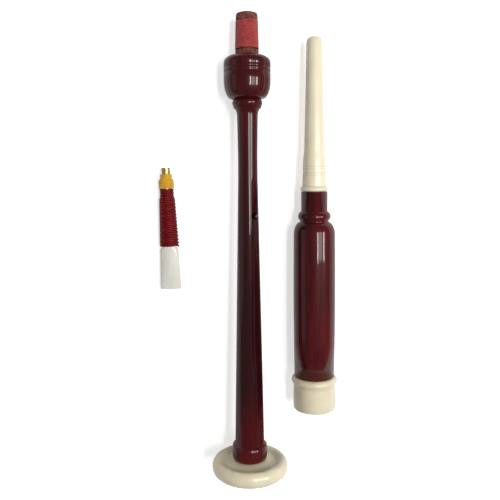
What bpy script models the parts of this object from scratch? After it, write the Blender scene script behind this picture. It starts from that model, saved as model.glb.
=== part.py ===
"""A practice chanter, laid out in its three parts on a table: lower section, top section and reed.

Units are metres and +Z is up. Every turned piece is an outline of (radius, height) points, with its
height measured along the piece's own axis, spun round that axis. The heights of the lower section
start at the sole's underside, those of the top section at the ferrule's open end, those of the
mouthpiece at the foot of its bead, and those of the reed at its lips. Each section is then laid on
the table with its upper end towards +Y.
"""

import math

import bmesh
import bpy
from mathutils import Matrix, Vector

MM = 0.001

# Gaps and fits
TOUCH_GAP = 0.3 * MM
PUSH_FIT_GAP = 0.2 * MM
REED_CLEARANCE = 0.4 * MM
REED_TIP_CLEARANCE = 4.0 * MM
TURN_GAP = 0.44 * MM
WELD = 0.01 * MM

# Sole
SOLE_DIAMETER = 47.4 * MM
SOLE_THICKNESS = 9.6 * MM
SOLE_RIM_WIDTH = 7.2 * MM
SOLE_DISH_DEPTH = 2.05 * MM

# Lower section's wood, from the foot up
SPIGOT_DIAMETER = 13.0 * MM
BASE_BEAD_DIAMETER = 22.0 * MM
BASE_BEAD_HEIGHT = 10.0 * MM
BASE_BEAD_FOOT_DIAMETER = 19.6 * MM
STEM_FOOT_DIAMETER = 18.1 * MM
STEM_WAIST_DIAMETER = 11.6 * MM
STEM_TAPER_LENGTH = 165.6 * MM
STEM_STRAIGHT_LENGTH = 34.5 * MM
NECK_COVE_HEIGHT = 4.6 * MM
NECK_COLLAR_HEIGHT = 1.2 * MM
NECK_BEAD_HEIGHT = 3.4 * MM
NECK_COLLAR_DIAMETER = 16.2 * MM
NECK_BEAD_DIAMETER = 17.8 * MM
CUP_STEP_HEIGHT = 0.9 * MM
CUP_FOOT_DIAMETER = 19.0 * MM
CUP_DIAMETER = 27.4 * MM
CUP_CURVE_HEIGHT = 10.2 * MM
CUP_WALL_HEIGHT = 10.2 * MM
CUP_SHOULDER_HEIGHT = 4.1 * MM
SCORE_WIDTH = 0.9 * MM
SCORE_DEPTH = 0.4 * MM
SCORE_DROP = 3.5 * MM
SCORE_SPACING = 2.3 * MM
TENON_COLLAR_DIAMETER = 13.6 * MM
TENON_COLLAR_LENGTH = 2.8 * MM
TENON_THREAD_LENGTH = 16.6 * MM
TENON_CORE_DIAMETER = 11.4 * MM
TENON_CORE_TAPER = 0.8 * MM
TENON_LIP_DIAMETER = 12.6 * MM
TENON_LIP_LENGTH = 4.0 * MM
TENON_LIP_ROUND = 1.2 * MM
TENON_THREAD_DIAMETER = 0.92 * MM

# Bore and holes
BORE_DIAMETER = 4.8 * MM
FINGER_HOLE_DIAMETERS = [size * MM for size in (4.6, 4.4, 4.6, 4.4, 4.2, 4.2, 4.0)]
LOWEST_HOLE_HEIGHT = 38.5 * MM
HOLE_SPACING = 18.5 * MM
THUMB_HOLE_DIAMETER = 4.6 * MM
THUMB_HOLE_RISE = 12.0 * MM

# Reed, from its lips
LIPS_WIDTH = 13.2 * MM
LIPS_THICKNESS = 3.0 * MM
LIPS_OPENING = 1.1 * MM
BLADE_LENGTH = 25.6 * MM
BLADE_ROOT_WIDTH = 11.4 * MM
BLADE_ROOT_THICKNESS = 5.8 * MM
BLADE_WALL = 0.9 * MM
BLADE_SHOULDER = 0.8 * MM
BLADE_HIDDEN_LENGTH = 30.5 * MM
BLADE_END_WALL = 0.6 * MM
STAPLE_DIAMETER = 5.2 * MM
STAPLE_WALL = 0.45 * MM
STAPLE_TIP_WIDTH = 5.8 * MM
STAPLE_TIP_THICKNESS = 3.0 * MM
STAPLE_TIP_SETBACK = 6.0 * MM
STAPLE_FLARE_LENGTH = 18.0 * MM
STAPLE_FOOT = 3.4 * MM
CORD_DIAMETER = 1.05 * MM
CORD_LENGTH = 37.0 * MM
CORD_MOST_TURNS = 24
SEAT_THREAD_DIAMETER = 0.7 * MM
SEAT_WINDING_LENGTH = 9.0 * MM
SEAT_WINDING_STOP_LENGTH = 5.0 * MM
SEAT_SPARE_DEPTH = 1.6 * MM
SEAT_CONE_HEIGHT = 1.4 * MM

# Top section
FERRULE_LENGTH = 21.0 * MM
FERRULE_DIAMETER = 26.3 * MM
FERRULE_BEAD_DIAMETER = 28.6 * MM
FERRULE_BEAD_HEIGHT = 5.0 * MM
FERRULE_COVE_HEIGHT = 4.6 * MM
FERRULE_ROUND = 0.8 * MM
BARREL_SPIGOT_DIAMETER = 21.4 * MM
BARREL_FOOT_DIAMETER = 24.8 * MM
BARREL_HEAD_DIAMETER = 25.1 * MM
BARREL_SWELL = 0.35 * MM
BARREL_SHOULDER_HEIGHT = 7.4 * MM
RING_HEIGHT = 6.0 * MM
RING_DIAMETER = 19.9 * MM
NECK_DIAMETER = 15.86 * MM
NECK_LENGTH = 12.1 * MM
SOCKET_SPARE_DEPTH = 1.1 * MM
CHAMBER_CONE_HEIGHT = 8.0 * MM
WINDWAY_DIAMETER = 6.0 * MM
WINDWAY_LENGTH = 14.4 * MM

# Mouthpiece
MOUTHPIECE_LENGTH = 89.2 * MM
MOUTHPIECE_BEAD_DIAMETER = 16.8 * MM
MOUTHPIECE_BEAD_HEIGHT = 2.6 * MM
MOUTHPIECE_FOOT_DIAMETER = 14.4 * MM
MOUTHPIECE_FOOT_LENGTH = 18.0 * MM
MOUTHPIECE_FOOT_TOP_DIAMETER = 13.45 * MM
MOUTHPIECE_STEP_LENGTH = 6.4 * MM
MOUTHPIECE_STEM_DIAMETER = 12.1 * MM
MOUTHPIECE_TIP_DIAMETER = 9.3 * MM
MOUTHPIECE_TIP_ROUND = 3.2 * MM
MOUTHPIECE_BORE_DIAMETER = 4.4 * MM
MOUTH_TENON_LENGTH = 17.2 * MM
MOUTH_TENON_DIAMETER = 9.8 * MM
MOUTH_TENON_LIP = 1.6 * MM
MOUTH_CORE_DIAMETER = 8.0 * MM
MOUTH_WINDING_DIAMETER = 10.1 * MM
MOUTH_SOCKET_SPARE = 0.8 * MM

# How the three parts lie on the table
LOWER_YAW = math.radians(0.4)
LOWER_ROLL = math.radians(40)
TOP_AWAY = 40.8 * MM
TOP_BACK = 39.2 * MM
TOP_YAW = math.radians(0.87)
REED_AWAY = 49.9 * MM
REED_BACK = 113.6 * MM
REED_YAW = math.radians(1.2)

# How finely round shapes are cut
TURNED_STEPS = 36
SLIM_STEPS = 28
HOLE_STEPS = 12
SHARP_ANGLE = math.radians(32)

# Heights on the lower section
BEAD_FOOT = SOLE_THICKNESS
STEM_FOOT = BEAD_FOOT + BASE_BEAD_HEIGHT
STEM_WAIST = STEM_FOOT + STEM_TAPER_LENGTH
NECK_FOOT = STEM_WAIST + STEM_STRAIGHT_LENGTH
CUP_FOOT = NECK_FOOT + NECK_COVE_HEIGHT + NECK_COLLAR_HEIGHT + NECK_BEAD_HEIGHT + CUP_STEP_HEIGHT
CUP_TOP = CUP_FOOT + CUP_CURVE_HEIGHT + CUP_WALL_HEIGHT
TENON_SHOULDER = CUP_TOP + CUP_SHOULDER_HEIGHT
THREAD_FOOT = TENON_SHOULDER + TENON_COLLAR_LENGTH
THREAD_TOP = THREAD_FOOT + TENON_THREAD_LENGTH
TENON_TIP = THREAD_TOP + TENON_LIP_LENGTH
TENON_LENGTH = TENON_TIP - TENON_SHOULDER

# Heights on the reed
BLADE_SHOULDER_END = BLADE_LENGTH + BLADE_SHOULDER
BLADE_END = BLADE_SHOULDER_END + BLADE_HIDDEN_LENGTH
STAPLE_TIP = BLADE_SHOULDER_END + STAPLE_TIP_SETBACK
STAPLE_ROUND = STAPLE_TIP + STAPLE_FLARE_LENGTH
CORD_FOOT = BLADE_SHOULDER_END
CORD_TOP = CORD_FOOT + CORD_LENGTH
SEAT_WINDING_TOP = CORD_TOP + SEAT_WINDING_LENGTH
REED_LENGTH = SEAT_WINDING_TOP + STAPLE_FOOT

# Fits between the sections
SEAT_WINDING_DIAMETER = STAPLE_DIAMETER + 2 * (TOUCH_GAP + SEAT_THREAD_DIAMETER)
SEAT_DIAMETER = SEAT_WINDING_DIAMETER + 2 * PUSH_FIT_GAP
REED_SEATED_DEPTH = STAPLE_FOOT + SEAT_WINDING_LENGTH - SEAT_WINDING_STOP_LENGTH
SEAT_DEPTH = REED_SEATED_DEPTH + SEAT_SPARE_DEPTH
TENON_WINDING_DIAMETER = TENON_CORE_DIAMETER + 2 * (TOUCH_GAP + TENON_THREAD_DIAMETER)
SOCKET_DIAMETER = max(TENON_WINDING_DIAMETER, TENON_COLLAR_DIAMETER) + 2 * PUSH_FIT_GAP
SOCKET_DEPTH = TENON_LENGTH + SOCKET_SPARE_DEPTH
CHAMBER_DIAMETER = LIPS_WIDTH + 2 * REED_CLEARANCE
CHAMBER_DEPTH = TENON_LENGTH + REED_LENGTH - REED_SEATED_DEPTH + REED_TIP_CLEARANCE

# Heights on the top section
MOUTH_SOCKET_FOOT = CHAMBER_DEPTH + CHAMBER_CONE_HEIGHT + WINDWAY_LENGTH
MOUTH_SOCKET_DEPTH = MOUTH_TENON_LENGTH + MOUTH_SOCKET_SPARE
BARREL_TOP = MOUTH_SOCKET_FOOT + MOUTH_SOCKET_DEPTH
MOUTH_SOCKET_DIAMETER = MOUTH_WINDING_DIAMETER + 2 * PUSH_FIT_GAP
RING_TOP = BARREL_TOP - NECK_LENGTH
BARREL_SHOULDER_TOP = RING_TOP - RING_HEIGHT
BARREL_SHOULDER_FOOT = BARREL_SHOULDER_TOP - BARREL_SHOULDER_HEIGHT
BARREL_FOOT = FERRULE_LENGTH + TOUCH_GAP
MOUTHPIECE_FOOT = BARREL_TOP + TOUCH_GAP


def arc(centre, width, height, start, end, count, fullness=1.0):
    """Points on an ellipse round a (radius, height) centre, between two angles in degrees.

    A fullness under 1 gives a flatter, fuller curve and one over 1 a more pointed curve.
    """
    points = []
    for step in range(count):
        angle = math.radians(start + (end - start) * step / (count - 1))
        across = math.copysign(abs(math.cos(angle)) ** fullness, math.cos(angle))
        points.append((centre[0] + width * across, centre[1] + height * math.sin(angle)))
    return points


def score(radius, height):
    """A V-shaped line scored round a wall of this radius, from its upper edge down."""
    return [
        (radius, height + SCORE_WIDTH / 2),
        (radius - SCORE_DEPTH, height),
        (radius, height - SCORE_WIDTH / 2),
    ]


def between(low, high, share):
    return low + (high - low) * share


def finish(name, colour, roughness, metallic=0.0):
    """A plain material: colour, roughness and how metallic it is."""
    made = bpy.data.materials.new(name)
    made.use_nodes = True
    shader = made.node_tree.nodes["Principled BSDF"]
    shader.inputs["Base Color"].default_value = (*colour, 1.0)
    shader.inputs["Roughness"].default_value = roughness
    shader.inputs["Metallic"].default_value = metallic
    made.diffuse_color = (*colour, 1.0)
    made.roughness = roughness
    made.metallic = metallic
    return made


def add_piece(name, data, parts, parent, material):
    piece = bpy.data.objects.new(name, data)
    parts.objects.link(piece)
    piece.parent = parent
    data.materials.append(material)
    return piece


def smooth(mesh):
    """Shades the round faces smooth and keeps the turned corners sharp."""
    mesh.shade_smooth()
    mesh.set_sharp_from_angle(angle=SHARP_ANGLE)


def turned(name, outline, parts, parent, material, steps=TURNED_STEPS):
    """A ring-shaped solid: a closed outline, running down its outer side, spun round the axis."""
    mesh = bpy.data.meshes.new(name)
    corners = [(radius, 0.0, height) for radius, height in outline]
    edges = [(i, (i + 1) % len(corners)) for i in range(len(corners))]
    mesh.from_pydata(corners, edges, [])
    piece = add_piece(name, mesh, parts, parent, material)
    screw = piece.modifiers.new("Turning", "SCREW")
    screw.axis = "Z"
    screw.angle = 2 * math.pi
    screw.steps = steps
    screw.render_steps = steps
    screw.use_merge_vertices = True
    screw.merge_threshold = WELD
    realise(piece)
    return piece


def realise(piece):
    """Gives the piece the mesh that its modifiers make."""
    graph = bpy.context.evaluated_depsgraph_get()
    mesh = bpy.data.meshes.new_from_object(piece.evaluated_get(graph))
    piece.modifiers.clear()
    piece.data = mesh
    smooth(mesh)


def wound_tube(name, path, diameter, parts, parent, material):
    """One unbroken round thread along a winding's path, with each end run straight on."""
    first = (path[0] - path[1]).normalized() * diameter
    last = (path[-1] - path[-2]).normalized() * diameter
    points = [path[0] + first, *path, path[-1] + last]
    curve = bpy.data.curves.new(name, "CURVE")
    curve.dimensions = "3D"
    curve.bevel_depth = diameter / 2
    curve.bevel_resolution = 1
    curve.use_fill_caps = True
    spline = curve.splines.new("POLY")
    spline.points.add(len(points) - 1)
    for knot, point in zip(spline.points, points):
        knot.co = (*point, 1.0)
    spline.use_smooth = True
    return add_piece(name, curve, parts, parent, material)


def least_gap(path, diameter, per_turn):
    """The smallest gap between two stretches of a winding that are half a turn or more apart."""
    closest = min(
        (path[i] - path[j]).length
        for i in range(len(path))
        for j in range(i + per_turn // 2, len(path))
    )
    return closest - diameter


def turns_in(length, diameter, most=24):
    """How many turns of this thread fit side by side in a length, with the gap between turns."""
    room = length - diameter - 2 * TOUCH_GAP
    return max(2, min(most, int(room / (diameter + TURN_GAP))))


def loft(name, sections, parts, parent, material):
    """A closed skin through sections, each an equal number of points running once round it."""
    mesh = bmesh.new()
    rings = [[mesh.verts.new(point) for point in section] for section in sections]
    count = len(rings[0])
    for lower, upper in zip(rings, rings[1:]):
        for i in range(count):
            j = (i + 1) % count
            mesh.faces.new((lower[i], lower[j], upper[j], upper[i]))
    for ring in (rings[0], rings[-1]):
        half = count // 2
        for i in range(half - 1):
            mesh.faces.new((ring[i], ring[i + 1], ring[count - 2 - i], ring[count - 1 - i]))
    bmesh.ops.recalc_face_normals(mesh, faces=mesh.faces)
    data = bpy.data.meshes.new(name)
    mesh.to_mesh(data)
    mesh.free()
    smooth(data)
    return add_piece(name, data, parts, parent, material)


def chanter_outline():
    """The lower section's wood: down its outside from the tenon's tip, and back up its bore."""
    lip = TENON_LIP_DIAMETER / 2
    core_foot = TENON_CORE_DIAMETER / 2
    core_top = core_foot - TENON_CORE_TAPER / 2
    collar = TENON_COLLAR_DIAMETER / 2
    cup = CUP_DIAMETER / 2
    cup_foot = CUP_FOOT_DIAMETER / 2
    neck_collar = NECK_COLLAR_DIAMETER / 2
    neck_bead = NECK_BEAD_DIAMETER / 2
    waist = STEM_WAIST_DIAMETER / 2
    stem_foot = STEM_FOOT_DIAMETER / 2
    bead_foot = BASE_BEAD_FOOT_DIAMETER / 2
    bead = BASE_BEAD_DIAMETER / 2
    spigot = SPIGOT_DIAMETER / 2
    bore = BORE_DIAMETER / 2
    seat = SEAT_DIAMETER / 2
    curve_top = CUP_FOOT + CUP_CURVE_HEIGHT
    collar_foot = NECK_FOOT + NECK_COVE_HEIGHT
    bead_middle = collar_foot + NECK_COLLAR_HEIGHT + NECK_BEAD_HEIGHT / 2
    base_middle = BEAD_FOOT + BASE_BEAD_HEIGHT / 2
    shoulder_inside = collar - TOUCH_GAP
    lip_round = TENON_LIP_ROUND
    tip = arc((lip - lip_round, TENON_TIP - lip_round), lip_round, lip_round, 90, 0, 3)
    shoulder = arc((shoulder_inside, CUP_TOP), cup - shoulder_inside, CUP_SHOULDER_HEIGHT, 88, 0, 6)
    cup_curve = arc((cup_foot, curve_top), cup - cup_foot, CUP_CURVE_HEIGHT, 0, -80, 6)
    neck_ring = arc((neck_collar, bead_middle), neck_bead - neck_collar, NECK_BEAD_HEIGHT / 2, 75, -75, 4)
    cove = arc((neck_collar, NECK_FOOT), neck_collar - waist - TOUCH_GAP, NECK_COVE_HEIGHT, 90, 170, 4)
    base = arc((bead_foot, base_middle), bead - bead_foot, BASE_BEAD_HEIGHT / 2, 88, -90, 7, 0.6)
    return [
        (seat, TENON_TIP),
        *tip,
        (lip, THREAD_TOP),
        (core_top, THREAD_TOP),
        (core_foot, THREAD_FOOT),
        (collar, THREAD_FOOT),
        *shoulder,
        *score(cup, CUP_TOP - SCORE_DROP),
        *score(cup, CUP_TOP - SCORE_DROP - SCORE_SPACING),
        *cup_curve,
        (cup_foot - SCORE_DEPTH, CUP_FOOT),
        (neck_collar, CUP_FOOT - CUP_STEP_HEIGHT),
        *neck_ring,
        *cove,
        (waist, between(NECK_FOOT, STEM_WAIST, 0.6)),
        (waist, STEM_WAIST),
        (stem_foot, STEM_FOOT),
        *base,
        (spigot, BEAD_FOOT),
        (spigot, TOUCH_GAP),
        (bore, TOUCH_GAP),
        (bore, TENON_TIP - SEAT_DEPTH - SEAT_CONE_HEIGHT),
        (seat, TENON_TIP - SEAT_DEPTH),
    ]


def sole_outline():
    """The sole: a dish up to a rolled rim, with a flat underside and a hole for the spigot."""
    hole = SPIGOT_DIAMETER / 2 + TOUCH_GAP
    boss = BASE_BEAD_FOOT_DIAMETER / 2
    rim = (SOLE_DIAMETER - SOLE_RIM_WIDTH) / 2
    half = SOLE_THICKNESS / 2
    crease_angle = 180 - math.degrees(math.asin(1 - SOLE_DISH_DEPTH / half))
    roll = arc((rim, half), SOLE_RIM_WIDTH / 2, half, crease_angle, -90, 11)
    boss_top = SOLE_THICKNESS - TOUCH_GAP
    crease, crease_height = roll[0]
    dish = [
        (between(boss, crease, share), between(crease_height, boss_top, (1 - share) ** 2))
        for share in (1 / 3, 2 / 3)
    ]
    return [(hole, boss_top), (boss, boss_top), *dish, *roll, (hole, 0.0)]


def barrel_outline():
    """The barrel: down its outside from the neck, then up through socket, chamber and wind-way."""
    neck = NECK_DIAMETER / 2
    ring = RING_DIAMETER / 2
    head = BARREL_HEAD_DIAMETER / 2
    foot = BARREL_FOOT_DIAMETER / 2
    spigot = BARREL_SPIGOT_DIAMETER / 2
    socket = SOCKET_DIAMETER / 2
    chamber = CHAMBER_DIAMETER / 2
    windway = WINDWAY_DIAMETER / 2
    mouth_socket = MOUTH_SOCKET_DIAMETER / 2
    ring_middle = RING_TOP - RING_HEIGHT * 0.45
    ring_curve = arc((neck, ring_middle), ring - neck, RING_HEIGHT / 2, 90, -65, 6, 1.5)
    shoulder = arc((neck, BARREL_SHOULDER_FOOT), head - neck, BARREL_SHOULDER_HEIGHT, 80, 0, 6)
    body = []
    for share in (0.25, 0.5, 0.75, 1.0):
        swell = BARREL_SWELL * math.sin(math.pi * share)
        height = between(BARREL_SHOULDER_FOOT, BARREL_FOOT, share)
        body.append((between(head, foot, share) + swell, height))
    return [
        (neck, BARREL_TOP),
        *ring_curve,
        *shoulder,
        *body,
        (spigot, BARREL_FOOT),
        (spigot, TOUCH_GAP),
        (socket, TOUCH_GAP),
        (socket, SOCKET_DEPTH),
        (chamber, SOCKET_DEPTH),
        (chamber, CHAMBER_DEPTH),
        (windway, CHAMBER_DEPTH + CHAMBER_CONE_HEIGHT),
        (windway, MOUTH_SOCKET_FOOT),
        (mouth_socket, MOUTH_SOCKET_FOOT),
        (mouth_socket, BARREL_TOP),
    ]


def ferrule_outline():
    """The ferrule: a bead at its top, a cove under it and a plain band down to the open end."""
    hole = BARREL_SPIGOT_DIAMETER / 2 + TOUCH_GAP
    band = FERRULE_DIAMETER / 2
    bead = FERRULE_BEAD_DIAMETER / 2
    middle = FERRULE_LENGTH - FERRULE_BEAD_HEIGHT / 2
    cove_top = FERRULE_LENGTH - FERRULE_BEAD_HEIGHT
    half = FERRULE_BEAD_HEIGHT / 2
    edge = arc((bead - half, middle), half, half, 90, -60, 6)
    cove_foot = cove_top - FERRULE_COVE_HEIGHT
    return [
        (hole, FERRULE_LENGTH),
        *edge,
        (band - TOUCH_GAP, between(cove_foot, cove_top, 0.6)),
        (band, cove_foot),
        *arc((band - FERRULE_ROUND, FERRULE_ROUND), FERRULE_ROUND, FERRULE_ROUND, 0, -90, 3),
        (hole, 0.0),
    ]


def mouthpiece_outline():
    """The mouthpiece: down from its rounded tip to the bead, its threaded-up tenon and the bore."""
    bore = MOUTHPIECE_BORE_DIAMETER / 2
    tip = MOUTHPIECE_TIP_DIAMETER / 2
    stem = MOUTHPIECE_STEM_DIAMETER / 2
    foot_top = MOUTHPIECE_FOOT_TOP_DIAMETER / 2
    foot = MOUTHPIECE_FOOT_DIAMETER / 2
    bead = MOUTHPIECE_BEAD_DIAMETER / 2
    core = MOUTH_CORE_DIAMETER / 2
    tenon = MOUTH_TENON_DIAMETER / 2
    lip_width = (tip - bore) * 0.75
    stem_foot = MOUTHPIECE_FOOT_LENGTH + MOUTHPIECE_STEP_LENGTH
    mouth_round = (tip - lip_width, MOUTHPIECE_LENGTH - MOUTHPIECE_TIP_ROUND)
    mouth = arc(mouth_round, lip_width, MOUTHPIECE_TIP_ROUND, 90, 0, 4)
    step = [
        (between(foot_top, stem, (1 - math.cos(math.pi * share)) / 2),
         between(MOUTHPIECE_FOOT_LENGTH, stem_foot, share))
        for share in (1.0, 0.7, 0.3, 0.0)
    ]
    band = MOUTHPIECE_BEAD_HEIGHT / 2
    return [
        (bore, MOUTHPIECE_LENGTH),
        *mouth,
        *step,
        (foot, MOUTHPIECE_BEAD_HEIGHT + SCORE_WIDTH),
        (foot, MOUTHPIECE_BEAD_HEIGHT),
        *arc((bead - band, band), band, band, 70, -70, 4),
        (foot, 0.0),
        (tenon, 0.0),
        (tenon, -MOUTH_TENON_LIP),
        (core, -MOUTH_TENON_LIP),
        (core, MOUTH_TENON_LIP - MOUTH_TENON_LENGTH),
        (tenon, MOUTH_TENON_LIP - MOUTH_TENON_LENGTH),
        (tenon, -MOUTH_TENON_LENGTH),
        (bore, -MOUTH_TENON_LENGTH),
    ]


def mouthpiece_winding_outline():
    """The thread sleeve in the mouthpiece tenon's recess, rounded at both ends."""
    inside = MOUTH_CORE_DIAMETER / 2 + TOUCH_GAP
    outside = MOUTH_WINDING_DIAMETER / 2
    top = -MOUTH_TENON_LIP - TOUCH_GAP
    foot = MOUTH_TENON_LIP - MOUTH_TENON_LENGTH + TOUCH_GAP
    ease = (outside - inside) / 2
    return [
        (inside, top),
        (outside - ease, top),
        (outside, top - ease),
        (outside, foot + ease),
        (outside - ease, foot),
        (inside, foot),
    ]


def tenon_thread_path(per_turn=18):
    """One layer of thread, wound up the tenon's tapered core."""
    turns = turns_in(TENON_THREAD_LENGTH, TENON_THREAD_DIAMETER)
    ease = TOUCH_GAP + TENON_THREAD_DIAMETER / 2
    foot = THREAD_FOOT + ease
    top = THREAD_TOP - ease
    path = []
    for i in range(turns * per_turn + 1):
        share = i / (turns * per_turn)
        core = (TENON_CORE_DIAMETER - TENON_CORE_TAPER * share) / 2
        angle = 2 * math.pi * i / per_turn
        radius = core + ease
        path.append(Vector((radius * math.cos(angle), radius * math.sin(angle), between(foot, top, share))))
    return path, per_turn


def seat_thread_path(per_turn=12):
    """The yellow thread: one layer down the staple, then a second layer back over its lower part."""
    radius = STAPLE_DIAMETER / 2 + TOUCH_GAP + SEAT_THREAD_DIAMETER / 2
    outer = radius + SEAT_THREAD_DIAMETER + TURN_GAP
    ease = TOUCH_GAP + SEAT_THREAD_DIAMETER / 2
    foot = CORD_TOP + ease
    top = SEAT_WINDING_TOP - ease
    turns = turns_in(SEAT_WINDING_LENGTH, SEAT_THREAD_DIAMETER)
    pitch = (top - foot) / turns
    back_turns = max(1, int((SEAT_WINDING_STOP_LENGTH - 2 * ease) / pitch))
    climb = per_turn // 2
    path = []
    for i in range((turns + back_turns) * per_turn + climb + 1):
        angle = 2 * math.pi * i / per_turn
        down = min(i, turns * per_turn)
        back = max(0, i - turns * per_turn - climb)
        rise = min(max(i - turns * per_turn, 0), climb) / climb
        height = top - pitch * down / per_turn + pitch * back / per_turn
        reach = between(radius, outer, rise)
        path.append(Vector((reach * math.cos(angle), -reach * math.sin(angle), height)))
    return path, per_turn


def staple_section(height):
    """Half width and half thickness of the staple: an oval tip that rounds off towards its foot."""
    share = min(max((height - STAPLE_TIP) / (STAPLE_ROUND - STAPLE_TIP), 0.0), 1.0)
    half_width = between(STAPLE_TIP_WIDTH, STAPLE_DIAMETER, share) / 2
    half_thickness = between(STAPLE_TIP_THICKNESS, STAPLE_DIAMETER, share) / 2
    return half_width, half_thickness


def blade_section(height):
    """Outer and inner half width and half thickness of the pair of blades at this height."""
    if height <= BLADE_LENGTH:
        share = height / BLADE_LENGTH
        half_width = between(LIPS_WIDTH, BLADE_ROOT_WIDTH, share) / 2
        half_thickness = between(LIPS_THICKNESS, BLADE_ROOT_THICKNESS, math.sin(share * math.pi / 2)) / 2
        inside = between(LIPS_OPENING / 2, half_thickness - BLADE_WALL, share)
        return half_width, half_thickness, half_width - BLADE_WALL, inside
    share = (height - BLADE_SHOULDER_END) / (BLADE_END - BLADE_SHOULDER_END)
    wall = between(BLADE_WALL, BLADE_END_WALL, share)
    staple_width, staple_thickness = staple_section(height)
    inner_width = staple_width + TOUCH_GAP
    inner_thickness = staple_thickness + TOUCH_GAP
    spread = BLADE_WALL / 2 * (1 - share)
    return inner_width + wall + spread, inner_thickness + wall + spread, inner_width, inner_thickness


def blade_sections(side, per_side=13):
    """Sections of one blade of the pair, on the side +1 or -1 of the plane in which they part."""
    part = TOUCH_GAP / 2
    heights = [BLADE_LENGTH * share for share in (0.0, 0.25, 0.5, 0.75, 1.0)]
    heights += [BLADE_SHOULDER_END, STAPLE_TIP, between(STAPLE_TIP, STAPLE_ROUND, 0.5)]
    heights += [STAPLE_ROUND, BLADE_END]
    sections = []
    for height in heights:
        width, thickness, inner_width, inner_thickness = blade_section(height)
        lens = between(1.4, 1.0, min(height / BLADE_LENGTH, 1.0))
        outer, inner = [], []
        for i in range(per_side):
            angle = math.pi * i / (per_side - 1)
            bulge = abs(math.sin(angle)) ** lens
            outside = side * between(part, thickness, bulge)
            inside = side * between(part, inner_thickness, bulge)
            outer.append(Vector((width * math.cos(angle), outside, height)))
            inner.append(Vector((inner_width * math.cos(angle), inside, height)))
        sections.append(outer + inner[::-1])
    return sections


def oval(width, thickness, height, count):
    """Points round an oval, given its half width and half thickness."""
    angles = [2 * math.pi * i / count for i in range(count)]
    return [Vector((width * math.cos(a), thickness * math.sin(a), height)) for a in angles]


def add_staple(parts, parent, material, count=16):
    """The brass tube, lofted outside and inside and closed by a ring at each end."""
    mesh = bmesh.new()
    skins = []
    for height in (STAPLE_TIP, between(STAPLE_TIP, STAPLE_ROUND, 0.5), STAPLE_ROUND, REED_LENGTH):
        width, thickness = staple_section(height)
        outer = oval(width, thickness, height, count)
        inner = oval(width - STAPLE_WALL, thickness - STAPLE_WALL, height, count)
        skins.append([[mesh.verts.new(point) for point in ring] for ring in (outer, inner)])
    for i in range(count):
        j = (i + 1) % count
        for lower, upper in zip(skins, skins[1:]):
            for side in (0, 1):
                mesh.faces.new((lower[side][i], lower[side][j], upper[side][j], upper[side][i]))
        for outer, inner in (skins[0], skins[-1]):
            mesh.faces.new((outer[i], outer[j], inner[j], inner[i]))
    bmesh.ops.recalc_face_normals(mesh, faces=mesh.faces)
    data = bpy.data.meshes.new("reed_staple")
    mesh.to_mesh(data)
    mesh.free()
    smooth(data)
    return add_piece("reed_staple", data, parts, parent, material)


def cord_path(per_turn=14):
    """The red cord, wound close round the blades' roots and on down the staple."""
    turns = turns_in(CORD_LENGTH, CORD_DIAMETER, CORD_MOST_TURNS)
    ease = TOUCH_GAP + CORD_DIAMETER / 2
    foot = CORD_FOOT + ease
    top = CORD_TOP - ease
    path = []
    for i in range(turns * per_turn + 1):
        height = between(foot, top, i / (turns * per_turn))
        past = min(max((height - BLADE_END) / CORD_DIAMETER, 0.0), 1.0)
        width, thickness, _, _ = blade_section(min(height, BLADE_END))
        bare, _ = staple_section(height)
        angle = 2 * math.pi * i / per_turn
        x = (between(width, bare, past) + ease) * math.cos(angle)
        y = (between(thickness, bare, past) + ease) * math.sin(angle)
        path.append(Vector((x, y, height)))
    return path, per_turn


def cut_holes(body, section, cutters):
    """Seven finger holes down the front and one thumb hole at the back, each into the bore."""
    front = [
        (LOWEST_HOLE_HEIGHT + HOLE_SPACING * i, diameter, 1)
        for i, diameter in enumerate(FINGER_HOLE_DIAMETERS)
    ]
    thumb_height = front[-1][0] + THUMB_HOLE_RISE
    for i, (height, diameter, side) in enumerate([*front, (thumb_height, THUMB_HOLE_DIAMETER, -1)]):
        reach = STEM_FOOT_DIAMETER
        bpy.ops.mesh.primitive_cylinder_add(vertices=HOLE_STEPS, radius=diameter / 2, depth=reach)
        cutter = bpy.context.object
        cutter.name = f"hole_cutter_{i + 1}"
        cutter.rotation_euler = (math.pi / 2, 0, 0)
        cutter.location = (0, side * reach / 2, height)
        cutter.parent = section
        cutter.hide_render = True
        cutter.display_type = "WIRE"
        for other in cutter.users_collection:
            other.objects.unlink(cutter)
        cutters.objects.link(cutter)
        hole = body.modifiers.new(f"Hole {i + 1}", "BOOLEAN")
        hole.operation = "DIFFERENCE"
        hole.solver = "EXACT"
        hole.object = cutter


def add_winding(name, path, per_turn, diameter, parts, section, material):
    """A winding, with its least gap to itself printed in millimetres."""
    print(name, "least gap in mm:", round(least_gap(path, diameter, per_turn) / MM, 3))
    return wound_tube(name, path, diameter, parts, section, material)


def add_lower_section(parts, cutters, section, finishes):
    body = turned("chanter_body", chanter_outline(), parts, section, finishes["wood"])
    cut_holes(body, section, cutters)
    turned("sole", sole_outline(), parts, section, finishes["ivory"])
    path, per_turn = tenon_thread_path()
    thread = finishes["tenon thread"]
    add_winding("tenon_winding", path, per_turn, TENON_THREAD_DIAMETER, parts, section, thread)


def add_top_section(parts, section, finishes):
    """The barrel with its ferrule, and the mouthpiece, whose origin is on its own axis."""
    turned("barrel", barrel_outline(), parts, section, finishes["wood"])
    turned("ferrule", ferrule_outline(), parts, section, finishes["ivory"])
    mouth_pieces = (
        ("mouthpiece", mouthpiece_outline(), finishes["ivory"]),
        ("mouthpiece_winding", mouthpiece_winding_outline(), finishes["tenon thread"]),
    )
    for name, outline, material in mouth_pieces:
        piece = turned(name, outline, parts, section, material, SLIM_STEPS)
        piece.location.z = MOUTHPIECE_FOOT


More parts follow.
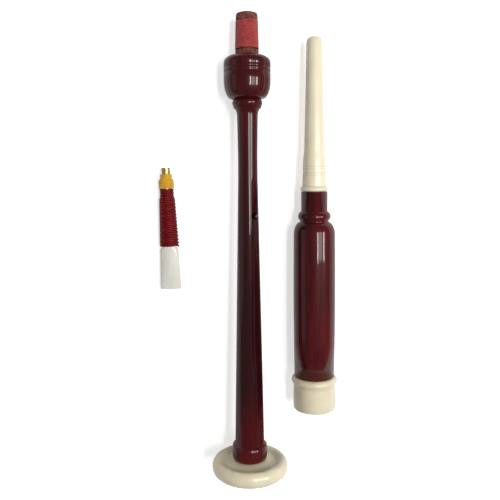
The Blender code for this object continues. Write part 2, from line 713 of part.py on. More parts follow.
def add_reed(parts, section, finishes):
    loft("reed_blade_front", blade_sections(-1), parts, section, finishes["blade"])
    loft("reed_blade_back", blade_sections(1), parts, section, finishes["blade"])
    add_staple(parts, section, finishes["brass"])
    path, per_turn = cord_path()
    add_winding("reed_cord", path, per_turn, CORD_DIAMETER, parts, section, finishes["cord"])
    path, per_turn = seat_thread_path()
    thread = finishes["seat thread"]
    add_winding("reed_seat_winding", path, per_turn, SEAT_THREAD_DIAMETER, parts, section, thread)


def resting_line(outline, balance):
    """The tilt and the axis height at height 0 of a round piece that lies on a flat table.

    It lies on the two rings of its outline between which its balance point falls, such that no other
    ring reaches below the line through them.
    """
    for low in outline:
        for high in outline:
            if not low[1] < balance < high[1]:
                continue
            slope = (low[0] - high[0]) / (high[1] - low[1])
            if all(r <= low[0] - slope * (z - low[1]) + WELD for r, z in outline):
                tilt = math.atan(slope)
                return tilt, low[1] * math.sin(tilt) + low[0] * math.cos(tilt)
    raise ValueError("the outline has no two rings to lie on")


def lay(section, outline, balance, x, y, yaw, roll=0.0):
    """Lays a section on the table with its upper end towards +Y and its foot at (x, y)."""
    tilt, axis_height = resting_line(outline, balance)
    section.matrix_world = (
        Matrix.Translation((x, y, axis_height))
        @ Matrix.Rotation(yaw, 4, "Z")
        @ Matrix.Rotation(-(math.pi / 2 + tilt), 4, "X")
        @ Matrix.Rotation(roll, 4, "Z")
    )


def reed_side_outline():
    """The reed's half thickness along its length, with its windings, seen from the side."""
    half_cord = TOUCH_GAP + CORD_DIAMETER
    stop = SEAT_WINDING_DIAMETER / 2 + SEAT_THREAD_DIAMETER + TURN_GAP
    outline = [(blade_section(height)[1], height) for height in (0.0, BLADE_LENGTH)]
    for height in (CORD_FOOT, STAPLE_TIP, STAPLE_ROUND, BLADE_END):
        outline.append((blade_section(height)[1] + half_cord, height))
    outline += [(stop, CORD_TOP), (stop, CORD_TOP + SEAT_WINDING_STOP_LENGTH)]
    outline.append((STAPLE_DIAMETER / 2, REED_LENGTH))
    return outline


def bounds(pieces):
    """The lowest and highest corner of the box round these pieces, as they stand in the world."""
    graph = bpy.context.evaluated_depsgraph_get()
    corners = []
    for piece in pieces:
        made = piece.evaluated_get(graph)
        mesh = made.to_mesh()
        corners += [made.matrix_world @ vertex.co for vertex in mesh.vertices]
        made.to_mesh_clear()
    low = Vector([min(corner[i] for corner in corners) for i in range(3)])
    high = Vector([max(corner[i] for corner in corners) for i in range(3)])
    return low, high


def centre_on_table(sections, pieces):
    """Moves the sections together, so that the origin is under the middle of their common box."""
    bpy.context.view_layer.update()
    low, high = bounds(pieces)
    shift = Matrix.Translation((-(low.x + high.x) / 2, -(low.y + high.y) / 2, -low.z))
    for section in sections:
        section.matrix_world = shift @ section.matrix_world
    bpy.context.view_layer.update()


def report_axis(section):
    """Prints where a section's axis starts and the way it points, in the world."""
    origin = section.matrix_world.translation
    along = section.matrix_world.to_3x3() @ Vector((0, 0, 1))
    print(section.name, "foot", [round(v, 6) for v in origin], "axis", [round(v, 6) for v in along])


def add_section(name, parts):
    section = bpy.data.objects.new(name, None)
    section.empty_display_size = SOLE_DIAMETER
    parts.objects.link(section)
    return section


def clear_scene():
    for old in list(bpy.data.objects):
        bpy.data.objects.remove(old, do_unlink=True)


def main():
    clear_scene()
    parts = bpy.data.collections.new("practice chanter")
    cutters = bpy.data.collections.new("hole cutters")
    for collection in (parts, cutters):
        bpy.context.scene.collection.children.link(collection)
    finishes = {
        "wood": finish("lacquered red wood", (0.09, 0.010, 0.014), 0.18),
        "ivory": finish("cream plastic", (0.70, 0.63, 0.46), 0.35),
        "tenon thread": finish("waxed red thread", (0.42, 0.06, 0.06), 0.75),
        "cord": finish("red cord", (0.27, 0.008, 0.02), 0.6),
        "seat thread": finish("yellow thread", (0.62, 0.30, 0.03), 0.75),
        "blade": finish("white reed plastic", (0.78, 0.76, 0.70), 0.4),
        "brass": finish("brass", (0.55, 0.42, 0.18), 0.3, 1.0),
    }
    lower = add_section("lower_section", parts)
    top = add_section("top_section", parts)
    reed = add_section("reed", parts)
    add_lower_section(parts, cutters, lower, finishes)
    add_top_section(parts, top, finishes)
    add_reed(parts, reed, finishes)
    lay(lower, [*sole_outline(), *chanter_outline()], STEM_WAIST / 2, 0.0, 0.0, LOWER_YAW, LOWER_ROLL)
    lay(top, [*ferrule_outline(), *barrel_outline()], BARREL_TOP / 2, TOP_AWAY, TOP_BACK, TOP_YAW)
    lay(reed, reed_side_outline(), (CORD_FOOT + CORD_TOP) / 2, -REED_AWAY, REED_BACK, REED_YAW)
    pieces = [piece for piece in parts.objects if piece.type != "EMPTY"]
    centre_on_table((lower, top, reed), pieces)
    for section in (lower, top, reed):
        report_axis(section)


main()
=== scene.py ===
# %% [markdown]
# # A practice chanter in its three parts
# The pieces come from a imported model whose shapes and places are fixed. This script gives them the
# finish of the real thing: lacquered wood, cream plastic, waxed thread and cord, brass and reed
# blades. It also winds the threads again, finer than the model has them.

# %% Load the model
import math

import bpy
from mathutils import Matrix, Vector


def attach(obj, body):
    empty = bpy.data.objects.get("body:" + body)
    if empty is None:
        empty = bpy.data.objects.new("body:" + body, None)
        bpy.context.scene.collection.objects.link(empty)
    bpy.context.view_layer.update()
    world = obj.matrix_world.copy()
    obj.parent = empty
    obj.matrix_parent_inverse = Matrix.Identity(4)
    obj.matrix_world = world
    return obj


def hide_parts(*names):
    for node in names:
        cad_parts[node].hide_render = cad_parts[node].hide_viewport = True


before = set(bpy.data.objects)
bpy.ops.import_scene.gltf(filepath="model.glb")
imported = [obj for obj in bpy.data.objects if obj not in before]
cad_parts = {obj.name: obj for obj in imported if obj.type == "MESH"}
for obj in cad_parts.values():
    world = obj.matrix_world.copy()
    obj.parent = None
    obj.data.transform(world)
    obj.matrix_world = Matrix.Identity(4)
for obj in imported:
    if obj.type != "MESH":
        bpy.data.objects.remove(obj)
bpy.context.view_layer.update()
MM = 0.001
print("nodes:", sorted(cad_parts))


# %% [markdown]
# ## The camera
# The photograph looks almost straight down at the table. The point right below the lens is above
# the picture's middle, so the camera leans a little towards the sole.

# %% Camera
PICTURE = 500
FOCAL_PIXELS = 589
SENSOR = 36
CAMERA_PLACE = Vector((0.8, 58.7, 368.1)) * MM
CAMERA_LEAN = math.radians(9.16)
NEAREST_SEEN = 10 * MM

bpy.ops.object.camera_add(location=CAMERA_PLACE, rotation=(-CAMERA_LEAN, 0, 0))
camera = bpy.context.object
camera.data.sensor_width = SENSOR
camera.data.lens = SENSOR * FOCAL_PIXELS / PICTURE
camera.data.clip_start = NEAREST_SEEN
bpy.context.scene.camera = camera
bpy.context.scene.view_settings.view_transform = "Standard"
print("lens", round(camera.data.lens, 2), "mm")


# %% [markdown]
# ## Light
# The lacquer mirrors the lamps, so their shape shows. Two narrow strips to the right give the pair
# of thin bright lines on each turned piece, and a dimmer panel between them fills the band that
# lies between the lines. A large soft panel on the left gives the dull grey band along the left
# edges. A pale world fills in the rest.

# %% Lamps and world
LAMP_HEIGHT = 1.0
LAMPS_BACK = 0.10
STRIP_LENGTH = 0.42
WHITE = (1, 1, 1)
WARM = (1.0, 0.97, 0.94)
WORLD_COLOUR = (1.0, 0.99, 0.97, 1)
WORLD_BRIGHTNESS = 0.22


def add_lamp(
    name, away, width, brightness, length=STRIP_LENGTH, height=LAMP_HEIGHT, back=LAMPS_BACK, colour=WHITE
):
    """A panel that faces the origin. Its brightness is what a mirror would show of it."""
    bpy.ops.object.light_add(type="AREA", location=(away, back, height))
    lamp = bpy.context.object
    lamp.name = name
    lamp.data.shape = "RECTANGLE"
    lamp.data.size = width
    lamp.data.size_y = length
    lamp.data.energy = brightness * math.pi * width * length
    lamp.data.color = colour
    aim = Vector((0, back, 0)) - lamp.location
    lamp.rotation_euler = (0, -math.atan2(aim.x, -aim.z), 0)
    print("lamp", name, round(lamp.data.energy, 2), "W")


add_lamp("near_strip", away=0.27, width=0.08, brightness=30)
add_lamp("between_strips", away=0.56, width=0.40, brightness=6)
add_lamp("far_strip", away=1.10, width=0.16, brightness=26, length=0.50)
add_lamp(
    "left_panel", away=-1.10, width=0.60, brightness=0.4, length=1.00, height=0.42, back=0.05, colour=WARM
)

world = bpy.data.worlds.new("studio")
bpy.context.scene.world = world
world.use_nodes = True
world_light = world.node_tree.nodes["Background"]
world_light.inputs["Color"].default_value = WORLD_COLOUR
world_light.inputs["Strength"].default_value = WORLD_BRIGHTNESS


# %% [markdown]
# ## Shader maths as expressions
# A surface's colour, roughness and bumps are worked out from its place. The small class below lets
# that be written as sums: each operation on a value adds one node to the material.

# %% Expressions that add nodes
class Value:
    """A socket of a material's node tree that can be added to, multiplied and compared."""

    def __init__(self, tree, socket):
        self.tree = tree
        self.socket = socket

    def node(self, kind, settings, inputs):
        made = self.tree.nodes.new(kind)
        for name, setting in settings.items():
            setattr(made, name, setting)
        for name, value in inputs.items():
            if isinstance(value, Value):
                self.tree.links.new(value.socket, made.inputs[name])
            else:
                made.inputs[name].default_value = value
        return made

    def maths(self, operation, *others):
        inputs = {i: value for i, value in enumerate((self, *others))}
        made = self.node("ShaderNodeMath", {"operation": operation}, inputs)
        return Value(self.tree, made.outputs[0])

    def __add__(self, other):
        return self.maths("ADD", other)

    def __sub__(self, other):
        return self.maths("SUBTRACT", other)

    def __rsub__(self, other):
        return (self * -1.0) + other

    def __mul__(self, other):
        return self.maths("MULTIPLY", other)

    __radd__ = __add__
    __rmul__ = __mul__

    def between(self, low, high):
        """0 below low, 1 above high and a smooth step from one to the other."""
        settings = {"interpolation_type": "SMOOTHSTEP"}
        inputs = {"Value": self, "From Min": low, "From Max": high}
        return Value(self.tree, self.node("ShaderNodeMapRange", settings, inputs).outputs[0])

    def blend(self, first, second):
        """The first colour where this value is 0 and the second where it is 1."""
        inputs = {0: self, 6: padded(first), 7: padded(second)}
        made = self.node("ShaderNodeMix", {"data_type": "RGBA", "clamp_factor": True}, inputs)
        return Value(self.tree, made.outputs[2])

    def noise(self, size, stretch, detail):
        """Noise whose blotches are about this size, in metres, pulled out along the axes."""
        scaled = self.node("ShaderNodeMapping", {}, {"Vector": self, "Scale": stretch})
        inputs = {"Vector": Value(self.tree, scaled.outputs[0]), "Scale": 1 / size, "Detail": detail}
        return Value(self.tree, self.node("ShaderNodeTexNoise", {}, inputs).outputs["Fac"])

    def axis(self, name):
        made = self.node("ShaderNodeSeparateXYZ", {}, {0: self})
        return Value(self.tree, made.outputs[name])


def padded(colour):
    return colour if isinstance(colour, Value) else (*colour, 1.0)


def start_material(name, **fixed):
    """A material with its fixed shader settings, and the place on the piece as a value."""
    made = bpy.data.materials.new(name)
    made.use_nodes = True
    tree = made.node_tree
    shader = tree.nodes["Principled BSDF"]
    for setting, value in fixed.items():
        shader.inputs[setting.replace("_", " ")].default_value = value
    place = Value(tree, tree.nodes.new("ShaderNodeTexCoord").outputs["Object"])
    return made, shader, place


def feed(shader, **values):
    """Links values to the shader's own sockets; a height goes through a Bump node."""
    for name, value in values.items():
        if name == "height":
            height, depth = value
            inputs = {"Height": height, "Distance": depth, "Strength": 1.0}
            bump = height.node("ShaderNodeBump", {}, inputs)
            height.tree.links.new(bump.outputs[0], shader.inputs["Normal"])
        else:
            value.tree.links.new(value.socket, shader.inputs[name.replace("_", " ")])


# %% [markdown]
# ## Lacquered wood
# The wood is stained so dark that its grain is only a faint streak along the piece, and lacquer
# lies over it. The stain is thinner in places, where the red shows through. A painted shade makes
# the middle of the lower section's stem almost black; it is weaker towards the top and stops short
# of the foot. The coat gives the sharp mirror lines, and a very shallow ripple keeps them from
# looking like glass. The tenon is never lacquered, so past the cup the wood is bare, brown and
# dull. A range gives where a change starts and ends, either on the table or in the noise.

# %% Wood
BARE_FROM = 115.6 * MM
BARE_EDGE = 0.4 * MM
BETWEEN_THE_SECTIONS = (24 * MM, 30 * MM)
# Painted shade on the lower stem: where it starts, where and how much it fades, and how strong it is.
PAINTED_SHADE_STARTS = (-112 * MM, -80 * MM)
PAINTED_SHADE_FADE_RANGE = (0, 90 * MM)
PAINTED_SHADE_FADE_SHARE = 0.6
PAINTED_SHADE_STRENGTH = 0.8
STREAK_STRENGTH = 0.55
PORE_STRENGTH = 0.45
CLOUD_RANGE = (0.26, 0.58)
STREAK_RANGE = (0.35, 0.68)
PORE_RANGE = (0.58, 0.72)
GRIME_RANGE = (0.35, 0.65)
DEEP_STAIN = (0.042, 0.0022, 0.0036)
THIN_STAIN = (0.098, 0.0030, 0.0056)
# The colour of the painted shade on the lower section's stem.
PAINTED_SHADE_COLOUR = (0.022, 0.0030, 0.0045)
STREAK_STAIN = (0.020, 0.0022, 0.0035)
PORE_STAIN = (0.010, 0.0018, 0.002)
BARE_WOOD = (0.26, 0.095, 0.070)
GRIMY_WOOD = (0.12, 0.042, 0.032)
COAT = 0.5
COAT_ON_BARE = 0.04
COAT_ROUGH = 0.05
WOOD_SHINE = 0.1
WOOD_ROUGH = 0.28
STREAK_ROUGH = 0.12
BARE_ROUGH = 0.35
RIPPLE_DEPTH = 0.010 * MM


def wood_material():
    made, shader, place = start_material(
        "lacquered_wood", Coat_Roughness=COAT_ROUGH, Specular_IOR_Level=WOOD_SHINE
    )
    streaks = place.noise(2.2 * MM, stretch=(1, 0.06, 1), detail=5.0)
    clouds = place.noise(24 * MM, stretch=(1, 0.35, 1), detail=2.0)
    pores = place.noise(0.7 * MM, stretch=(1, 0.05, 1), detail=2.0).between(*PORE_RANGE)
    stain = clouds.between(*CLOUD_RANGE).blend(DEEP_STAIN, THIN_STAIN)
    along = place.axis("Y")
    lower_section = 1 - place.axis("X").between(*BETWEEN_THE_SECTIONS)
    # Painted shade: the lower section's stem is painted darker from a little above its foot, weaker
    # towards its top.
    painted_shade_fading = 1 - along.between(*PAINTED_SHADE_FADE_RANGE) * PAINTED_SHADE_FADE_SHARE
    painted_shade = along.between(*PAINTED_SHADE_STARTS) * painted_shade_fading * lower_section
    stain = (painted_shade * PAINTED_SHADE_STRENGTH).blend(stain, PAINTED_SHADE_COLOUR)
    streaked = (streaks.between(*STREAK_RANGE) * STREAK_STRENGTH).blend(stain, STREAK_STAIN)
    lacquered = (pores * PORE_STRENGTH).blend(streaked, PORE_STAIN)
    bare = along.between(BARE_FROM, BARE_FROM + BARE_EDGE)
    grime = place.noise(1.5 * MM, stretch=(1, 0.6, 1), detail=3.0).between(*GRIME_RANGE)
    colour = bare.blend(lacquered, grime.blend(BARE_WOOD, GRIMY_WOOD))
    ripple = place.noise(1.4 * MM, stretch=(1, 0.12, 1), detail=2.0)
    rough = WOOD_ROUGH + streaks * STREAK_ROUGH + bare * BARE_ROUGH
    coat = COAT - bare * (COAT - COAT_ON_BARE)
    feed(shader, Base_Color=colour, Roughness=rough, Coat_Weight=coat, height=(ripple, RIPPLE_DEPTH))
    return made


wood = wood_material()
print("made", wood.name)


# %% [markdown]
# ## Cream plastic
# Imitation ivory is a cast plastic. It is smooth and slightly cloudy, with the faint rings that a
# lathe leaves and a yellower tint where it is thick. The mouthpiece is paler than the other two,
# and has fine lines scored round its foot, which are drawn darker and sunk a little.

# %% Plastic
SCORED_LINES = [height * MM for height in (40.6, 47.1, 48.5, 50.6, 52.2)]
LINE_HALF_WIDTH = 0.22 * MM
LINE_STRENGTH = 0.6
LINE_DEPTH = 0.04 * MM
RING_HEIGHT = 0.1
SPECK_STRENGTH = 0.35
SPECK_RANGE = (0.66, 0.78)
TINT_RANGE = (0.30, 0.70)
PLASTIC_ROUGH = 0.26
TINT_ROUGH = 0.14


def plastic_material(name, pale, deep, dirt, lines=()):
    made, shader, place = start_material(name, Coat_Weight=0.25, Coat_Roughness=0.12)
    clouds = place.noise(9 * MM, stretch=(1, 0.6, 1), detail=3.0)
    specks = place.noise(0.8 * MM, stretch=(1, 1, 1), detail=2.0).between(*SPECK_RANGE)
    rings = place.noise(0.35 * MM, stretch=(0.02, 1, 0.02), detail=1.0)
    tinted = clouds.between(*TINT_RANGE).blend(pale, deep)
    colour = (specks * SPECK_STRENGTH).blend(tinted, dirt)
    height = rings * RING_HEIGHT
    along = place.axis("Y")
    # The scored lines are drawn darker, in the same dark colour as the specks, and sunk a little.
    for line in lines:
        scored = 1 - (along - line).maths("ABSOLUTE").between(0, LINE_HALF_WIDTH)
        colour = (scored * LINE_STRENGTH).blend(colour, dirt)
        height = height - scored
    rough = PLASTIC_ROUGH + clouds * TINT_ROUGH
    feed(shader, Base_Color=colour, Roughness=rough, height=(height, LINE_DEPTH))
    return made


cream = plastic_material(
    "cream_plastic", pale=(0.84, 0.76, 0.56), deep=(0.77, 0.68, 0.47), dirt=(0.50, 0.41, 0.25)
)
ivory = plastic_material(
    "pale_plastic",
    pale=(0.92, 0.84, 0.64),
    deep=(0.87, 0.78, 0.56),
    dirt=(0.50, 0.40, 0.24),
    lines=SCORED_LINES,
)
print("made", cream.name, ivory.name)


# %% [markdown]
# ## Thread and cord
# Waxed thread is dull, with fibres that run along it. Its colour changes a little from turn to turn
# because the wax is uneven, and it is darkest where it has been handled.

# %% Thread
WAX_SHINE = 0.2
FUZZ = 0.3
FIBRE_DEPTH = 0.06 * MM
WORN_STRENGTH = 0.7
WORN_RANGE = (0.52, 0.72)
TURN_RANGE = (0.32, 0.68)
FIBRE_ROUGH = 0.1


def thread_material(name, light, dark, worn, roughness=0.7, sheen=FUZZ, coat=0.0):
    made, shader, place = start_material(
        name, Sheen_Weight=sheen, Coat_Weight=coat, Coat_Roughness=0.3, Specular_IOR_Level=WAX_SHINE
    )
    turns = place.noise(0.9 * MM, stretch=(0.35, 1, 0.35), detail=2.0)
    fibres = place.noise(0.16 * MM, stretch=(1, 2.5, 1), detail=3.0)
    patches = place.noise(4.5 * MM, stretch=(1, 1, 1), detail=2.0)
    tinted = turns.between(*TURN_RANGE).blend(light, dark)
    colour = (patches.between(*WORN_RANGE) * WORN_STRENGTH).blend(tinted, worn)
    rough = roughness + fibres * FIBRE_ROUGH
    feed(shader, Base_Color=colour, Roughness=rough, height=(fibres, FIBRE_DEPTH))
    return made


faded_red = thread_material(
    "faded_red_thread", light=(0.50, 0.062, 0.055), dark=(0.36, 0.026, 0.026), worn=(0.28, 0.05, 0.036)
)
yellow = thread_material(
    "yellow_thread", light=(0.82, 0.48, 0.02), dark=(0.70, 0.36, 0.012), worn=(0.50, 0.24, 0.01)
)
crimson = thread_material(
    "crimson_cord",
    light=(0.23, 0.003, 0.007),
    dark=(0.13, 0.001, 0.004),
    worn=(0.09, 0.001, 0.003),
    roughness=0.38,
    sheen=0.0,
    coat=0.1,
)
print("made", faded_red.name, yellow.name, crimson.name)


# %% [markdown]
# ## Brass and blades
# The staple is a plain brass tube, dulled by handling. The blades are white plastic, milled thin at
# the lips, with fine lines along them.

# %% Brass and blade plastic
CLEAN_BRASS = (0.60, 0.46, 0.20)
TARNISHED_BRASS = (0.25, 0.17, 0.08)
TARNISH_RANGE = (0.42, 0.66)
BRASS_ROUGH = 0.22
TARNISH_ROUGH = 0.3
SCRATCH_DEPTH = 0.008 * MM
PALE_BLADE = (0.82, 0.81, 0.73)
DEEP_BLADE = (0.76, 0.74, 0.64)
BLADE_LINE = (0.72, 0.70, 0.64)
BLADE_RANGE = (0.3, 0.7)
BLADE_LINE_RANGE = (0.5, 0.75)
BLADE_LINE_STRENGTH = 0.25
BLADE_ROUGH = 0.34
BLADE_LINE_ROUGH = 0.12
BLADE_LINE_DEPTH = 0.02 * MM


def brass_material():
    made, shader, place = start_material("dull_brass", Metallic=1.0)
    tarnish = place.noise(1.6 * MM, stretch=(1, 1, 1), detail=4.0)
    scratches = place.noise(0.2 * MM, stretch=(1, 0.05, 1), detail=2.0)
    colour = tarnish.between(*TARNISH_RANGE).blend(CLEAN_BRASS, TARNISHED_BRASS)
    rough = BRASS_ROUGH + tarnish * TARNISH_ROUGH
    feed(shader, Base_Color=colour, Roughness=rough, height=(scratches, SCRATCH_DEPTH))
    return made


def blade_material():
    made, shader, place = start_material("blade_plastic", Coat_Weight=0.4, Coat_Roughness=0.1)
    lines = place.noise(0.45 * MM, stretch=(1, 0.04, 1), detail=2.0)
    clouds = place.noise(5 * MM, stretch=(1, 0.4, 1), detail=2.0)
    colour = clouds.between(*BLADE_RANGE).blend(PALE_BLADE, DEEP_BLADE)
    shaded = (lines.between(*BLADE_LINE_RANGE) * BLADE_LINE_STRENGTH).blend(colour, BLADE_LINE)
    rough = BLADE_ROUGH + lines * BLADE_LINE_ROUGH
    feed(shader, Base_Color=shaded, Roughness=rough, height=(lines, BLADE_LINE_DEPTH))
    return made


brass = brass_material()
blade = blade_material()
print("made", brass.name, blade.name)


# %% [markdown]
# ## Smooth skins
# The model's pieces are loose facets. A copy of each is welded and shaded smooth, with its corners
# kept sharp. On a turned wall the shading direction is then pointed straight away from the piece's
# axis, so that the lacquer's mirror lines run true past the holes. LOWER, TOP and REED say where
# the model lays its three sections: the middle of each one's foot, in millimetres, and its axis.

# %% Welded copies of the model's pieces
SHARP_CORNER = math.radians(32)
WELD_DISTANCE = 0.004 * MM
MOST_TWIST = 0.25


def smooth_copy(node, body, material):
    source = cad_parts[node]
    bpy.ops.object.select_all(action="DESELECT")
    source.select_set(True)
    bpy.context.view_layer.objects.active = source
    bpy.ops.object.duplicate()
    piece = bpy.context.object
    piece.name = f"{node}_skin"
    bpy.ops.object.mode_set(mode="EDIT")
    bpy.ops.mesh.select_all(action="SELECT")
    bpy.ops.mesh.remove_doubles(threshold=WELD_DISTANCE)
    bpy.ops.object.mode_set(mode="OBJECT")
    bpy.ops.object.shade_smooth_by_angle(angle=SHARP_CORNER)
    piece.data.materials.clear()
    piece.data.materials.append(material)
    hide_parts(node)
    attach(piece, body)
    return piece


def section_frame(foot, along):
    """The matrix that lays a section's own heights and radii on the table."""
    axis = Vector(along).normalized()
    side = Vector((axis.y, -axis.x, 0)).normalized()
    down = axis.cross(side)
    turned = Matrix((side, down, axis)).transposed().to_4x4()
    return Matrix.Translation(Vector(foot) * MM) @ turned


LOWER = section_frame((0.841, -138.421, 23.881), (-0.006976, 0.999146, -0.040736))
TOP = section_frame((41.641, -99.221, 14.649), (-0.015181, 0.999705, -0.018977))
REED = section_frame((-49.059, -24.821, 3.938), (-0.020938, 0.999555, 0.021238))


def true_round(piece, section):
    """Points the shading of turned walls straight away from, or towards, the section's axis."""
    mesh = piece.data
    axis = section.to_3x3() @ Vector((0, 0, 1))
    foot = section.translation
    trued = []
    for loop, normal in zip(mesh.loops, mesh.corner_normals):
        offset = mesh.vertices[loop.vertex_index].co - foot
        away = (offset - axis * offset.dot(axis)).normalized()
        shading = normal.vector
        along = shading.dot(axis)
        outward = shading.dot(away)
        twist = abs(shading.dot(axis.cross(away)))
        if twist < MOST_TWIST and abs(outward) > MOST_TWIST:
            reach = math.copysign(math.sqrt(max(1 - along * along, 0)), outward)
            shading = axis * along + away * reach
        trued.append(shading.normalized())
    mesh.normals_split_custom_set(trued)


SKINS = (
    ("chanter_body", "lower_section", wood, "wood"),
    ("sole", "lower_section", cream, "cream_plastic"),
    ("barrel", "top_section", wood, "wood"),
    ("ferrule", "top_section", cream, "cream_plastic"),
    ("mouthpiece", "mouthpiece", ivory, "cream_plastic"),
    ("mouthpiece_winding", "mouthpiece", faded_red, "tenon_thread"),
    ("reed_staple", "reed", brass, "brass"),
    ("reed_blade_front", "reed", blade, "reed_plastic"),
    ("reed_blade_back", "reed", blade, "reed_plastic"),
)
TURNED = {"chanter_body": LOWER, "sole": LOWER, "barrel": TOP, "ferrule": TOP, "mouthpiece": TOP}
for node, body, material, slot in SKINS:
    made = smooth_copy(node, body, material)
    if node in TURNED:
        true_round(made, TURNED[node])
    print(made.name, len(made.data.polygons), "faces")


# %% [markdown]
# ## Windings
# A real winding has many more turns than the model's. Each is one thread on a path that a loop
# works out in the section's own frame, where heights run along the axis from the section's foot,
# and which is then laid where the section lies. The sizes of the windings are in millimetres.

# %% A thread on a path
THREAD_ROUNDNESS = 2


def mix(low, high, share):
    return low + (high - low) * share


def on_oval(width, thickness, angle, height):
    """A point on an oval round the axis, given its half width and half thickness."""
    return width * math.cos(angle), thickness * math.sin(angle), height


def wind(name, points, diameter, section, material, body, node=None):
    """One thread along these points, given in millimetres in the section's own frame."""
    curve = bpy.data.curves.new(name, "CURVE")
    curve.dimensions = "3D"
    curve.bevel_depth = diameter * MM / 2
    curve.bevel_resolution = THREAD_ROUNDNESS
    curve.use_fill_caps = True
    spline = curve.splines.new("POLY")
    spline.points.add(len(points) - 1)
    for spot, point in zip(spline.points, points):
        spot.co = (*(section @ (Vector(point) * MM)), 1)
    spline.use_smooth = True
    piece = bpy.data.objects.new(name, curve)
    bpy.context.scene.collection.objects.link(piece)
    bpy.ops.object.select_all(action="DESELECT")
    piece.select_set(True)
    bpy.context.view_layer.objects.active = piece
    bpy.ops.object.convert(target="MESH")
    piece = bpy.context.object
    piece.data.materials.append(material)
    if node:
        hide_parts(node)
    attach(piece, body)
    print(name, len(piece.data.polygons), "faces")


# %% [markdown]
# The tenon's thread lies in a shallow recess, a little fatter at its foot. The real one is fine
# thread in close turns, which two small waves keep from looking machined.

# %% Tenon thread
TENON_FOOT = 257.4
TENON_HEAD = 273.4
TENON_RADIUS_FOOT = 6.92
TENON_RADIUS_HEAD = 6.52
FINE_THREAD = 0.52
CLOSE_TURNS = 0.97
WAVE = 0.05
WAVE_RATE = 3.1
SLOW_WAVE = 0.03
SLOW_WAVE_RATE = 0.37


def tenon_points(per_turn=36):
    turns = int((TENON_HEAD - TENON_FOOT - FINE_THREAD) / (FINE_THREAD * CLOSE_TURNS))
    half = FINE_THREAD / 2
    points = []
    for i in range(turns * per_turn + 1):
        share = i / (turns * per_turn)
        angle = 2 * math.pi * i / per_turn
        uneven = WAVE * math.sin(WAVE_RATE * share * turns)
        uneven += SLOW_WAVE * math.sin(angle * SLOW_WAVE_RATE)
        radius = mix(TENON_RADIUS_FOOT, TENON_RADIUS_HEAD, share) - half + uneven
        height = mix(TENON_FOOT + half, TENON_HEAD - half, share)
        points.append(on_oval(radius, radius, angle, height))
    return points


path = tenon_points()
wind("tenon_thread", path, FINE_THREAD, LOWER, faded_red, "lower_section", "tenon_winding")


# %% [markdown]
# The red cord binds the blades to the staple. What it is wound on changes along the reed: it is as
# wide as the blades' roots at one end and round at the other. Every second turn bulges at the
# reed's two edges, where the real cord is knotted, more on the right edge than on the left. The
# last turn lies level and closes the winding.

# %% Red cord
CORD = 1.12
CORD_FOOT = 26.7
CORD_HEAD = 63.1
CORD_GAP = 0.12
ROOT_HALF_WIDTH = 4.68
ROOT_HALF_THICKNESS = 3.15
STAPLE_HALF = 2.6
BLADE_END = 56.9
PAST_BLADES = 1.2
ROUND_BLADES = STAPLE_HALF + 1.1
ROUND_STAPLE = STAPLE_HALF + 0.5
KNOT_LEFT = 0.08
KNOT_RIGHT = 0.60
KNOT_AT_HEAD = 0.1
KNOT_NARROWNESS = 6


def cord_outline(height):
    """Half width and half thickness of what the cord is wound on, at this height on the reed."""
    share = min(max((height - CORD_FOOT) / (BLADE_END - CORD_FOOT), 0), 1)
    past = min(max((height - BLADE_END) / PAST_BLADES, 0), 1)
    width = mix(mix(ROOT_HALF_WIDTH, ROUND_BLADES, share), ROUND_STAPLE, past)
    thickness = mix(mix(ROOT_HALF_THICKNESS, ROUND_BLADES, share), ROUND_STAPLE, past)
    return width, thickness


def knot(turn, angle, share):
    """How far the cord stands out at this angle on this turn."""
    if turn % 2:
        return 0
    at_edge = max(math.cos(2 * angle), 0) ** KNOT_NARROWNESS
    at_foot = mix(KNOT_LEFT, KNOT_RIGHT, (math.cos(angle) + 1) / 2)
    return at_edge * mix(at_foot, KNOT_AT_HEAD, share)


def cord_points(per_turn=28):
    turns = int((CORD_HEAD - CORD_FOOT) / CORD)
    points = []
    for i in range((turns + 1) * per_turn + 1):
        share = min(i / (turns * per_turn), 1)
        angle = 2 * math.pi * i / per_turn
        height = mix(CORD_FOOT + CORD / 2, CORD_HEAD - CORD / 2, share)
        width, thickness = cord_outline(height)
        lift = CORD / 2 + CORD_GAP + knot(i // per_turn, angle, share)
        points.append(on_oval(width + lift, thickness + lift, angle, height))
    return points


wind("red_cord", cord_points(), CORD, REED, crimson, "reed", "reed_cord")


# %% [markdown]
# The turns of the cord are caught by hitches, which make a zigzag along the reed's upper left side.
# It is one thinner cord that weaves over the turns, in steps that get shorter towards the staple.

# %% Hitches
HITCH = 0.80
HITCH_ANGLE = math.radians(-125)
HITCH_SWING = math.radians(13)
HITCH_SUNK = 0.28
HITCH_FOOT = CORD_FOOT + 1.2
HITCH_HEAD = CORD_HEAD - 1.0
LONG_STEP = 1.9
SHORT_STEP = 0.8


def hitch_points():
    points = []
    height = HITCH_FOOT
    side = 1
    while height < HITCH_HEAD:
        width, thickness = cord_outline(height)
        angle = HITCH_ANGLE + side * HITCH_SWING
        lift = CORD + CORD_GAP + HITCH * HITCH_SUNK
        points.append(on_oval(width + lift, thickness + lift, angle, height))
        height += mix(LONG_STEP, SHORT_STEP, (height - CORD_FOOT) / (CORD_HEAD - CORD_FOOT))
        side = -side
    return points


wind("cord_hitches", hitch_points(), HITCH, REED, crimson, "reed")


# %% [markdown]
# The yellow thread makes the reed's foot fat enough to wedge in its seat. It is thicker in the part
# next to the red cord, and its turns lean and swell a little.

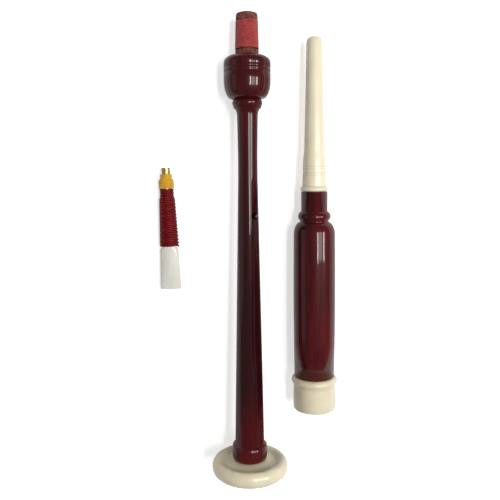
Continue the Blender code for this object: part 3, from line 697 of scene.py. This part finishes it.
# %% Yellow thread
YELLOW = 0.46
YELLOW_FOOT = 63.12
YELLOW_STEP = 68.3
YELLOW_STEP_LENGTH = 0.9
YELLOW_HEAD = 72.2
YELLOW_RADIUS_FOOT = 4.42
YELLOW_RADIUS_HEAD = 3.35
LEAN = 0.35
LEAN_TURN = 0.6
SWELL = 0.06
SWELL_RATE = 5.3


def yellow_points(per_turn=28):
    turns = int((YELLOW_HEAD - YELLOW_FOOT) / (YELLOW * CLOSE_TURNS))
    points = []
    for i in range(turns * per_turn + 1):
        share = i / (turns * per_turn)
        angle = 2 * math.pi * i / per_turn
        lean = LEAN * math.cos(angle + LEAN_TURN) * math.sin(math.pi * share)
        height = mix(YELLOW_FOOT + YELLOW / 2, YELLOW_HEAD - YELLOW / 2, share) + lean
        thick = 1 - min(max((height - YELLOW_STEP) / YELLOW_STEP_LENGTH, 0), 1)
        radius = mix(YELLOW_RADIUS_HEAD, YELLOW_RADIUS_FOOT, thick)
        radius += SWELL * math.sin(SWELL_RATE * share * turns)
        points.append(on_oval(radius, radius, angle, height))
    return points


path = yellow_points()
wind("yellow_thread_turns", path, YELLOW, REED, yellow, "reed", "reed_seat_winding")


# %% [markdown]
# ## Floor
# The photograph's ground is white. The floor is a large pale sheet that also glows for the camera,
# and a little in reflections, so it reads white and still takes the parts' soft shadows.

# %% Floor
FLOOR_SIZE = 6.0
FLOOR_DROP = 0.2 * MM
PAPER = (0.92, 0.92, 0.92, 1)
GLOW_SEEN = 0.58
GLOW_MIRRORED = 0.12

bpy.ops.mesh.primitive_plane_add(size=FLOOR_SIZE, location=(0, 0, -FLOOR_DROP))
floor = bpy.context.object
floor.name = "floor"
paper, paper_shader, place = start_material(
    "white_paper", Base_Color=PAPER, Emission_Color=(1, 1, 1, 1), Roughness=0.9, Specular_IOR_Level=0.1
)
rays = place.node("ShaderNodeLightPath", {}, {})
seen = Value(place.tree, rays.outputs["Is Camera Ray"])
mirrored = Value(place.tree, rays.outputs["Is Glossy Ray"])
feed(paper_shader, Emission_Strength=seen * GLOW_SEEN + mirrored * GLOW_MIRRORED)
floor.data.materials.append(paper)
print("made", floor.name)
